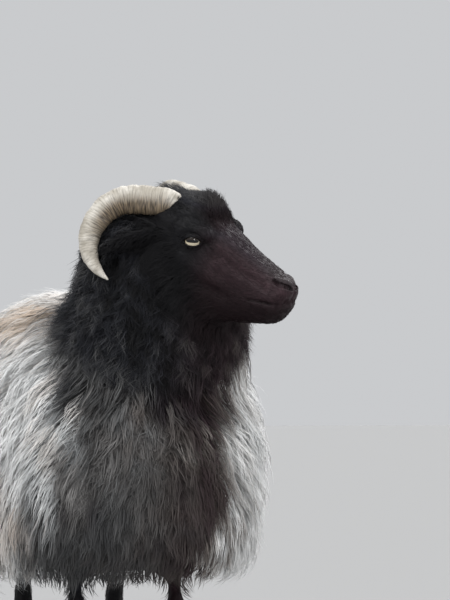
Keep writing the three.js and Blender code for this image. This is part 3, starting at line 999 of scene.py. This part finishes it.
def woolFinish(name, roughness=0.7, shine=0.25, bare=False):
    finish = Finish(name, Roughness=roughness, Specular_IOR_Level=shine)
    pale, warm, along, tone = (finish.attribute(key) for key in ("pale", "warm", "along", "tone"))
    greys = ((13, 13, 15), (36, 38, 44), (84, 84, 84), (152, 154, 155), (208, 210, 210), (248, 248, 247))
    browns = ((26, 14, 17), (58, 40, 44), (84, 74, 69), (140, 122, 109), (180, 160, 143), (216, 198, 180))
    stops = (0.0, 0.1, 0.25, 0.5, 0.75, 1.0)
    cool = [(stop, colour(*grey)) for stop, grey in zip(stops, greys)]
    brown = [(stop, colour(*earth)) for stop, earth in zip(stops, browns)]
    coolRamp = finish.node("ShaderNodeValToRGB", {"stops": cool}, pale)
    brownRamp = finish.node("ShaderNodeValToRGB", {"stops": brown}, pale)
    base = finish.mix(warm, coolRamp, brownRamp)
    cloud = finish.noise(finish.place(), 26.0, 2.0)
    # roots darker than tips: partly the paler weathered tips, partly painted shade deep in the coat
    shade = (0.86 + along * 0.2) * (0.84 + tone * 0.3) * (0.94 + cloud * 0.16)
    if bare:  # streaks along the lie of the short hair
        forward, across = finish.attribute("ahead"), finish.attribute("around")
        flow = finish.node("ShaderNodeCombineXYZ", None, forward * 0.09 + across * 0.04, across * 0.36, 0.0)
        hairs = finish.noise(flow, 1.0, 4.0)
        # painted shade darkens the creases of the face
        shade = shade * (0.2 + hairs * 1.6) * (1 - finish.attribute("crease") * 0.85)
        finish.bump(hairs, 0.9, 0.0015)
    tint = finish.node("ShaderNodeCombineXYZ", None, shade, shade, shade)
    finish.feed("Base Color", finish.node("ShaderNodeVectorMath", {"operation": "MULTIPLY"}, base, tint))
    return finish


# Where each kind of hair grows.
owner = nearestNode(points)
pairs = edgesOf(body.data)
facing = unit(spread(normalsOf(body.data, points), pairs, 6))
skinTree = treeOf(body.data, points)
share = {kind: spread(regionOf(kind), pairs, 5) for kind in ("trunk", "neck", "head", "tail", "ear")}
share["leg"] = np.clip(1 - sum(share.values()), 0, 1)
inFleece = smoothStep(0.02, 0.05, points[:, 2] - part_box("trunk")[0][2])  # it covers the upper legs
share["trunk"] = share["trunk"] + share["leg"] * inFleece
share["leg"] = share["leg"] * (1 - inFleece)
ahead, up, out = inHead(points)
room = np.array([outline.find_nearest(Vector(point))[3] for point in points])
room = spread(room, pairs, 2)  # from the skin to the tips of the coat


def lieOfCoat():
    x, y, z = points[:, 0], points[:, 1] - stanceY, points[:, 2]
    aside = np.sign(x) * smoothStep(0, 0.03, np.abs(x))
    level = smoothStep(0.45, 0.98, facing[:, 2])
    behind = smoothStep(-0.12, 0.10, y)
    lie = np.stack([aside * (0.08 + 0.7 * level), 0.06 + 0.38 * behind, -1 + 0.3 * level], 1)
    lie = lie * share["trunk"][:, None]
    sweep = smoothStep(-0.02, -0.09, y) * smoothStep(0.56, 0.44, z) * smoothStep(0.05, -0.03, x)
    lie[:, 0] -= 0.55 * sweep * share["trunk"]
    away = np.sign(x - 0.03)
    onNeck = np.stack([away * (0.1 + 0.9 * level), np.full(len(x), 0.22), -1 + 0.2 * level], 1)
    lie += onNeck * share["neck"][:, None]
    backward = headAxes @ np.array((0, 1, -0.3))
    crown = headAxes @ np.array((0, 1, 0.15))
    top = smoothStep(20, 50, up)[:, None]
    lie += (backward * (1 - top) + crown * top) * share["head"][:, None] * 1.2
    toTip = np.array([headAxes @ np.array((70 * side, 46, -30)) / 89 for side in bothSides])
    lie += toTip[(out > 0).astype(int)] * share["ear"][:, None]
    lie += np.array((0, 0.1, -1)) * (share["leg"] + share["tail"])[:, None]
    lie = lie - facing * np.sum(lie * facing, 1)[:, None]
    lie = unit(spread(unit(lie), pairs, 4))
    return unit(lie + (spread(lie, pairs, 12) - lie) * share["trunk"][:, None])


lie = lieOfCoat()
palePlace, warmPlace = markingsAndSheen(points, share["neck"], share["trunk"] + share["tail"])
print("markings and lie of the coat are set")

cornerCount, faceStart, cornerAt = facesOf(body.data)


def perFace(values):
    return (np.add.reduceat(values[cornerAt], faceStart, axis=0).T / cornerCount).T


faceLie = [Vector(v) for v in unit(perFace(lie))]
faceOut = [Vector(v) for v in unit(perFace(facing))]
faceRoom = perFace(room)
triangleCorners = trianglesOf(body.data)
triangleLoops = trianglesOf(body.data, "loops")
skinMap = np.zeros(len(body.data.loops) * 2)
body.data.uv_layers["OFBake"].data.foreach_get("uv", skinMap)
skinMap = skinMap.reshape(-1, 2)
triangleSides = [points[triangleCorners[:, i]] - points[triangleCorners[:, 0]] for i in (1, 2)]
triangleArea = np.linalg.norm(np.cross(*triangleSides), axis=1) / 2
fields = {
    "place": points, "out": facing, "lie": lie, "trunk": (share["trunk"] + share["tail"])[:, None],
    "neck": share["neck"][:, None], "head": np.stack([ahead, up, out], 1),
}


def sow(count, density):
    chance = triangleArea * density[triangleCorners].mean(1)
    chosen = dice.choice(len(chance), count, p=chance / chance.sum())
    a, b = dice.random(count), dice.random(count)
    a, b = np.where(a + b > 1, 1 - a, a), np.where(a + b > 1, 1 - b, b)
    weights = np.stack([1 - a - b, a, b], 1)[:, :, None]
    found = {key: (values[triangleCorners[chosen]] * weights).sum(1) for key, values in fields.items()}
    found["map"] = (skinMap[triangleLoops[chosen]] * weights).sum(1)
    found["out"], found["lie"] = unit(found["out"]), unit(found["lie"])
    return found


# Locks are the paths that strands gather round. A lock rises over the first share of its length. It hangs
# where the skin is upright or faces down, less while it lies low, and less the further it stands proud.
lockSteps = 12
lockWalk = {
    "rise": 0.45, "push": 0.7, "mostIn": -0.5, "mostOut": 0.9, "lowHang": 0.3, "leastHang": 0.05,
    "proud": 0.001, "proudMost": 0.010, "adrift": 0.006, "down": Vector((0, 0, -1)),
}


# The path of one lock and, at each step, the way out from the skin.
def walkLock(place, out, lie, length, depth, hang, stand, fluff):
    step = length / lockSteps
    at = Vector(place)
    heading = (Vector(out) * stand + Vector(lie)).normalized()
    track, outward = [at.copy()], [Vector(out)]
    for k in range(1, lockSteps + 1):
        near, _, face, _ = skinTree.find_nearest(at)
        normal = faceOut[face]
        height = (at - near).dot(normal)
        ease = min(1.0, (k / lockSteps) / lockWalk["rise"])
        full = depth if fluff is None else depth * (faceRoom[face] + fluff)
        wanted = full * (1 - (1 - ease) ** 2)
        push = (wanted - height) / step * lockWalk["push"]
        push = max(lockWalk["mostIn"], min(lockWalk["mostOut"], push))
        aim = (faceLie[face] + normal * push).normalized()
        free = min(1.0, max(0.0, (0.1 - normal.z) / 0.5)) * hang
        if height < 0.5 * wanted:
            free *= lockWalk["lowHang"]
        proud = max(0, height - wanted - lockWalk["proud"])
        free *= max(lockWalk["leastHang"], 1 - proud / lockWalk["proudMost"])
        aim = aim.lerp(lockWalk["down"], free).normalized()
        heading = (heading * 0.5 + aim * 0.5).normalized()
        at = at + heading * step
        track.append(at.copy())
        outward.append(normal.copy() if height < wanted + lockWalk["adrift"] else outward[-1])
    return track, outward


def framesAlong(line, outward):
    heading = unit(np.gradient(line, axis=1))
    across = unit(np.cross(heading, outward))
    return across, np.cross(across, heading)


# How the locks and strands differ among themselves: the least and the most of each, or how much.
variety = {
    "lockLength": (0.82, 1.12), "lockDepth": (0.8, 1.05), "lockCurl": (0.4, 1.5), "start": 0.34,
    "reach": (0.64, 1.0), "pull": (0.6, 1.15), "wavelength": (0.03, 0.07), "frizz": (0.3, 1.6),
    "width": (0.6, 1.35), "astray": 0.07, "further": 0.09, "twist": 0.5, "pale": 0.06,
}


# With fluff, depth is a share of the room up to the outline and the locks keep to it; else it is a height.
def plantLocks(
    plan, density, length, depth, fluff=None, hang=1.0, stand=0.8, curl=0.004, wave=0.06, stray=0.1
):
    count = plan["locks"]
    roots = sow(count, density)
    lengths = length(roots) * dice.uniform(*variety["lockLength"], count)
    depths = depth(roots) * dice.uniform(*variety["lockDepth"], count)
    starts = zip(roots["place"], roots["out"], roots["lie"], lengths, depths)
    walked = [walkLock(*start, hang, stand, fluff) for start in starts]
    track, outward = (np.array([[tuple(v) for v in row[i]] for row in walked]) for i in (0, 1))
    across, outward = framesAlong(track, unit(outward))
    t = np.linspace(0, 1, lockSteps + 1)[None, :]
    phase = dice.uniform(0, 2 * np.pi, (count, 1)) + 2 * np.pi * t * lengths[:, None] / wave
    size = curl * dice.uniform(*variety["lockCurl"], (count, 1)) * smoothStep(0.1, 0.6, t)
    track = track + across * (np.sin(phase) * size)[:, :, None]
    track = track + outward * (np.cos(phase) * size * 0.45)[:, :, None]
    sway = dice.normal(0, 1, (count, 1)) * stray * t**1.5 * lengths[:, None]
    track = track + across * sway[:, :, None]
    tone = dice.random(count)
    return {"root": roots["place"], "track": track, "outward": outward, "length": lengths, "tone": tone}


# Strands are thin three-sided hairs with a pointed tip. Each is a small patch on the skin's UV map.
patchSize = 0.003


def strandCorners(rings):
    sides = ((0, 1), (1, 2), (2, 0))
    last = 3 * rings - 3
    quads = [(r + q, r + p, r + 3 + p, r + 3 + q) for r in range(0, last, 3) for p, q in sides]
    triangles = [(last + q, last + p, last + 3) for p, q in sides] + [(0, 1, 2)]
    return quads, triangles


def strandPatch(rings, steps):
    quads, triangles = strandCorners(rings)
    across = [0, 1 / 3, 2 / 3] * rings + [0.5]
    along = list(np.repeat(steps[:-1], 3)) + [1.0]
    patch = []
    for face in quads + triangles:
        wraps = len(face) == 4 and {corner % 3 for corner in face} == {0, 2}
        for corner in face:
            patch.append((1.0 if wraps and corner % 3 == 0 else across[corner], along[corner]))
    return np.array(patch)


def strandMesh(name, rings, steps, vertices, normals, values, roots):
    quads, triangles = strandCorners(rings)
    count, each = vertices.shape[:2]
    pattern = np.concatenate([np.ravel(quads), np.ravel(triangles)]).astype(int)
    sizes = np.tile([4] * len(quads) + [3] * len(triangles), count)
    loops = ((np.arange(count) * each)[:, None] + pattern).ravel()
    mesh = bpy.data.meshes.new(name)
    mesh.vertices.add(count * each)
    mesh.vertices.foreach_set("co", vertices.ravel())
    mesh.loops.add(len(loops))
    mesh.loops.foreach_set("vertex_index", loops)
    mesh.polygons.add(len(sizes))
    mesh.polygons.foreach_set("loop_start", np.concatenate([[0], np.cumsum(sizes)[:-1]]))
    mesh.update(calc_edges=True)
    mesh.polygons.foreach_set("use_smooth", np.ones(len(sizes), bool))
    mesh.normals_split_custom_set_from_vertices(normals.reshape(-1, 3))
    attribute(mesh, "along", np.tile(np.append(np.repeat(steps[:-1], 3), 1.0), count))
    for key, value in values.items():
        attribute(mesh, key, np.repeat(value, each))
    layer = mesh.uv_layers.new(name="OFBake")
    patch = roots[:, None, :] + (strandPatch(rings, steps)[None] - 0.5) * patchSize
    layer.data.foreach_set("uv", patch.ravel().astype(np.float32))
    return mesh


# Between a horn and the head hair keeps clear by this gap, in metres. Hair beyond the reach isn't tested.
hornGap = {"under": 0.002, "reach": 0.2}
headMiddle = fromHead(20, 0, 0)


def clearOfHorns(line, above):
    clear = np.ones(len(line), bool)
    for track, radius in hornTracks:
        near = np.min(np.linalg.norm(line - track.mean(0), axis=2), axis=1) < hornGap["reach"]
        track, radius = track[::6], radius[::6]
        tree = searchTree(track)
        fromMiddle = np.linalg.norm(track - headMiddle, axis=1)
        for strand in np.flatnonzero(near):
            for place in line[strand, 1:]:
                _, index, distance = tree.find(place)
                over = np.linalg.norm(place - headMiddle) > fromMiddle[index]
                clear[strand] &= distance > radius[index] + (above if over else hornGap["under"])
    return clear


def growHair(
    name, slot, material, locks, plan, density, rings, layer,
    pull=0.6, frizz=0.0012, pieces=1, even=0.55, late=0, vary=0.3, loose=0.04, above=0.016,
):
    count, width = plan["strands"], plan["width"]
    roots = sow(count, density)
    order = np.argsort(roots["place"][:, 1])
    roots = {key: values[order] for key, values in roots.items()}
    tree = searchTree(locks["root"])
    lock = np.array([tree.find(place)[1] for place in roots["place"]])
    t = np.linspace(0, 1, rings + 1) ** 0.9
    start = dice.uniform(0, variety["start"], count) * late
    reach = start + dice.uniform(*variety["reach"], count) * (1 - variety["start"] * late)
    at = (start[:, None] + t[None, :] * (reach - start)[:, None]) * lockSteps
    index = np.minimum(at.astype(int), lockSteps - 1)
    part = (at - index)[:, :, None]
    rows = lock[:, None]
    line = locks["track"][rows, index] * (1 - part) + locks["track"][rows, index + 1] * part
    outward = locks["outward"][rows, index] * (1 - part) + locks["outward"][rows, index + 1] * part
    offset = roots["place"] - locks["root"][lock]
    hold = 1 - pull * dice.uniform(*variety["pull"], (count, 1)) * smoothStep(0.15, 1.0, at / lockSteps)
    line = line + offset[:, None, :] * hold[:, :, None]
    lengths = (locks["length"][lock] * (reach - start))[:, None]
    sink = dice.random((count, 1)) ** 1.5 * layer * smoothStep(0, 0.35, t[None, :])
    across, outward = framesAlong(line, unit(outward))
    wavelength = dice.uniform(*variety["wavelength"], (count, 1))
    phase = dice.uniform(0, 2 * np.pi, (count, 1)) + 2 * np.pi * t[None, :] * lengths / wavelength
    bend = frizz * dice.uniform(*variety["frizz"], (count, 1)) * smoothStep(0.1, 0.5, t[None, :])
    line = line + across * (np.sin(phase) * bend)[:, :, None]
    line = line + outward * (np.cos(phase * 0.8) * bend * 0.7 - sink)[:, :, None]
    further = dice.random(count) < variety["astray"]
    astray = np.where(further, loose + variety["further"], loose)[:, None, None]
    line = line + dice.normal(0, 1, (count, 1, 3)) * astray * lengths[:, :, None] * t[None, :, None] ** 2
    twist = dice.normal(0, variety["twist"], (count, 1, 1))
    flat = across * np.cos(twist) + outward * np.sin(twist)
    ridge = outward * np.cos(twist) - across * np.sin(twist)
    profile = (0.65 + 0.6 * np.sin(np.pi * t[:-1] ** 0.8)) * (1 - t[:-1] ** 1.8)
    broad = (width * dice.uniform(*variety["width"], (count, 1)) * profile[None, :])[:, :, None, None]
    spokes = np.stack([-flat[:, :-1] / 2, flat[:, :-1] / 2, ridge[:, :-1] * 0.45], axis=2)
    corners = (line[:, :-1, None] + spokes * broad).reshape(count, 3 * rings, 3)
    vertices = np.concatenate([corners, line[:, -1:]], axis=1)
    soft = unit(outward[:, :-1, None] * even + unit(spokes) * (1 - even)).reshape(count, 3 * rings, 3)
    normals = np.concatenate([soft, outward[:, -1:]], axis=1)
    shown = line[:, int(rings * 0.75)]
    pale, warm = markingsAndSheen(shown, roots["neck"].ravel(), roots["trunk"].ravel())
    blotch = dice.normal(0, variety["pale"], count) + (locks["tone"][lock] - 0.5) * 0.12
    pale = np.clip(pale * (1 + blotch), 0, 1)
    tone = 0.5 + (dice.random(count) - 0.5) * vary + (locks["tone"][lock] - 0.5) * 0.3
    tone = tone + 0.12 * drift(shown, 55, 12)
    values = {"tone": tone, "pale": pale, "warm": warm}
    kept = np.flatnonzero(clearOfHorns(line, above))
    for number, chosen in enumerate(np.array_split(kept, pieces)):
        label = name if pieces == 1 else f"{name}_{number + 1}"
        picked = {key: value[chosen] for key, value in values.items()}
        mesh = strandMesh(label, rings, t, vertices[chosen], normals[chosen], picked, roots["map"][chosen])
        mesh.materials.append(material)
        keep(newPiece(label, mesh), slot)


wool = woolFinish("wool").material
shortHair = woolFinish("shortHair", 0.55, 0.15).material
# Lengths, depths and widths are in metres. The mane and the ruff fill the room up to the tips.
coat = {
    "fleece": {
        "locks": 2700, "strands": 39000, "length": 0.11, "front": 0.075, "depth": 0.030, "width": 0.0013,
        "belly": 0.262, "shortest": 0.035,
    },
    "breast": {"locks": 1700, "strands": 20000, "length": 0.045, "depth": 0.032, "width": 0.0011},
    "mane": {"locks": 1900, "strands": 32000, "length": 0.050, "width": 0.0010},
    "ruff": {"locks": 1700, "strands": 10000, "length": 0.044, "width": 0.0008},
    "face": {"locks": 4000, "strands": 12000, "length": 0.0075, "depth": 0.0005, "width": 0.0008},
    "leg": {"locks": 1500, "strands": 4000, "length": 0.013, "depth": 0.0010, "width": 0.0008},
    "ear": {"locks": 300, "strands": 1500, "length": 0.017, "depth": 0.004, "width": 0.0008},
    "tail": {"locks": 150, "strands": 1600, "length": 0.10, "depth": 0.014, "width": 0.002},
    "crest": {"locks": 700, "strands": 3600, "length": 0.020, "depth": 0.012, "width": 0.0008},
}


def flatValue(value):
    return lambda roots: np.full(len(roots["place"]), value)


def inFront(roots):  # 1 on the chest, 0 behind the shoulders
    return 1 - smoothStep(-0.09, -0.02, roots["place"][:, 1] - stanceY)


# Locks low on the body are short enough not to hang far below the belly.
def shortenLow(roots, full):
    plan = coat["fleece"]
    above = (roots["place"][:, 2] - plan["belly"]) * 1.05 + 0.012
    return np.minimum(full, np.maximum(above, plan["shortest"]))


def fleeceLength(roots):
    plan = coat["fleece"]
    return shortenLow(roots, plan["length"] + (plan["front"] - plan["length"]) * inFront(roots))


def fleeceDepth(roots):
    swell = 1 + 0.12 * drift(roots["place"], 70, 13)
    swell = swell * (1 - 0.4 * smoothStep(0.38, 0.31, roots["place"][:, 2]) * inFront(roots))
    return coat["fleece"]["depth"] * (1 - 0.25 * smoothStep(0.2, 0.8, -roots["out"][:, 2])) * swell


def tailDepth(roots):
    return coat["tail"]["depth"] * (0.4 + 0.6 * smoothStep(0.45, 0.50, roots["place"][:, 2]))


def breastLength(roots):
    return shortenLow(roots, coat["breast"]["length"])


# How near the back edge of the cheek and jaw a place lies: 0 on the short hair, 1 where the mane begins.
def cheekBack(ahead, up):
    return smoothStep(118, 76, ahead + 0.85 * up) * (1 - smoothStep(36, 52, up))


def ruffLength(roots):
    ahead, up, _ = roots["head"].T
    return coat["ruff"]["length"] * (0.2 + 0.8 * cheekBack(ahead, up))


def crestRise(roots):  # short round the horns, longer on the forehead and longest between the horns
    ahead, _, out = roots["head"].T
    forehead = smoothStep(58, 78, ahead) * smoothStep(106, 88, ahead) * smoothStep(-26, -10, -np.abs(out))
    poll = smoothStep(-6, 6, ahead) * smoothStep(36, 24, ahead) * smoothStep(-24, -12, -np.abs(out))
    return 0.4 + 0.6 * forehead + 1.5 * poll


def crestSize(kind):
    return lambda roots: coat["crest"][kind] * crestRise(roots)


def grow(name, slot, kind, density, rings, layer, length=None, depth=None, shape=None, hair=None, **strand):
    plan = coat[kind]
    length = length or flatValue(plan["length"])
    depth = depth or flatValue(plan.get("depth", 1))
    locks = plantLocks(plan, density, length, depth, **(shape or {}))
    growHair(name, slot, hair or wool, locks, plan, density, rings, layer, **strand)


noseClear = 1 - smoothStep(214, 224, ahead) * (up > 2) * smoothStep(-30, -10, -np.abs(out))
crestHalf = 38 - 16 * smoothStep(54, 76, ahead)
onCrest = share["head"] * smoothStep(-30, -10, ahead) * (1 - smoothStep(98, 112, ahead))
onCrest = onCrest * smoothStep(52, 66, up)
onCrest = onCrest * (1 - smoothStep(crestHalf, crestHalf + 16, np.abs(out)))
denser = 0.6 * (points[:, 1] < stanceY - 0.03)  # in front of the shoulders
thinner = 0.6 * smoothStep(0.4, 0.8, -facing[:, 2])  # under the belly
woolly = share["trunk"] * (1 + denser - thinner)
woolly = woolly * (1.12 - 0.12 * np.sign(points[:, 0]))
chest = share["trunk"] * (1 - smoothStep(-0.17, -0.10, points[:, 1] - stanceY))
chest = chest * smoothStep(0.1, 0.5, -facing[:, 1])
chest = chest * (1 - smoothStep(0.11, 0.17, np.abs(points[:, 0])))
onRuff = (share["head"] + 0.4 * share["neck"] * smoothStep(10, 40, ahead)) * cheekBack(ahead, up)
onTail = share["tail"] * (1 - 0.5 * smoothStep(0.1, 0.6, -facing[:, 2]))
onFace = share["head"] * smoothStep(14, 18, eyeDistance(points)) * noseClear

# The name of each piece, its slot and kind of coat, where it grows, the rings of a strand, how deep strands
# sink in, and what differs from the usual for its locks and strands.
grow(
    "fleece", "fleece", "fleece", woolly * (1 - 0.55 * chest), 3, 0.005, fleeceLength, fleeceDepth,
    {"curl": 0.0016, "wave": 0.09, "stray": 0.12},
    pieces=4, late=1, frizz=0.001, even=0.88, loose=0.06, pull=0.5,
)
grow(
    "breast", "fleece", "breast", chest, 2, 0.006, breastLength, None,
    {"curl": 0.006, "wave": 0.04, "stray": 0.25, "stand": 1.3},
    pieces=2, late=1, frizz=0.0024, even=0.75, loose=0.12, pull=0.35,
)
grow(
    "mane", "mane", "mane", share["neck"], 2, 0.007, None, None,
    {"fluff": 0.004, "curl": 0.010, "wave": 0.034, "stand": 1.3, "stray": 0.2},
    pieces=3, late=1, frizz=0.002, even=0.62, loose=0.08, pull=0.75,
)
grow(
    "ruff", "face_hair", "ruff", onRuff, 2, 0.003, ruffLength, None,
    {"fluff": 0.001, "curl": 0.003, "wave": 0.03, "hang": 0.5}, frizz=0.0012, even=0.75, loose=0.07,
)
grow("tail_wool", "fleece", "tail", onTail, 3, 0.005, None, tailDepth, {"curl": 0.004})
grow(
    "face_hair", "face_hair", "face", onFace, 2, 0.0003, None, None,
    {"curl": 0.0003, "stand": 0.1, "hang": 0}, shortHair, frizz=0.0002, pull=0.3, even=0.65, vary=1.4,
)
grow(
    "crest", "face_hair", "crest", onCrest, 3, 0.003, crestSize("length"), crestSize("depth"),
    {"curl": 0.0015, "wave": 0.03, "stand": 1.6, "stray": 0.24}, frizz=0.0006, pull=0.5, above=0.001,
)
grow(
    "ear_hair", "face_hair", "ear", share["ear"], 3, 0.001, None, None,
    {"curl": 0.0008, "stand": 0.5, "hang": 0.4}, frizz=0.0004, pull=0.4,
)
grow(
    "leg_hair", "leg_hair", "leg", share["leg"], 2, 0.0005, None, None,
    {"curl": 0.0003, "stand": 0.4}, frizz=0.0002, pull=0.4, even=0.7,
)

# The skin carries the same markings and painted sheen, and painted shade darkens its creases.
level = np.ones(len(points))
skinValues = {
    "pale": palePlace, "warm": warmPlace, "along": 0.6 * level, "tone": 0.4 * level, "ahead": ahead,
    "crease": crease, "around": np.arctan2(out, up + 6) * np.hypot(out, up + 6),
}
for key, values in skinValues.items():
    attribute(body.data, key, values)
body.data.materials.clear()
body.data.materials.append(woolFinish("bareSkin", 0.5, 0.15, True).material)
body.data.shade_smooth()
keep(body, "face_hair", *fleshNodes)
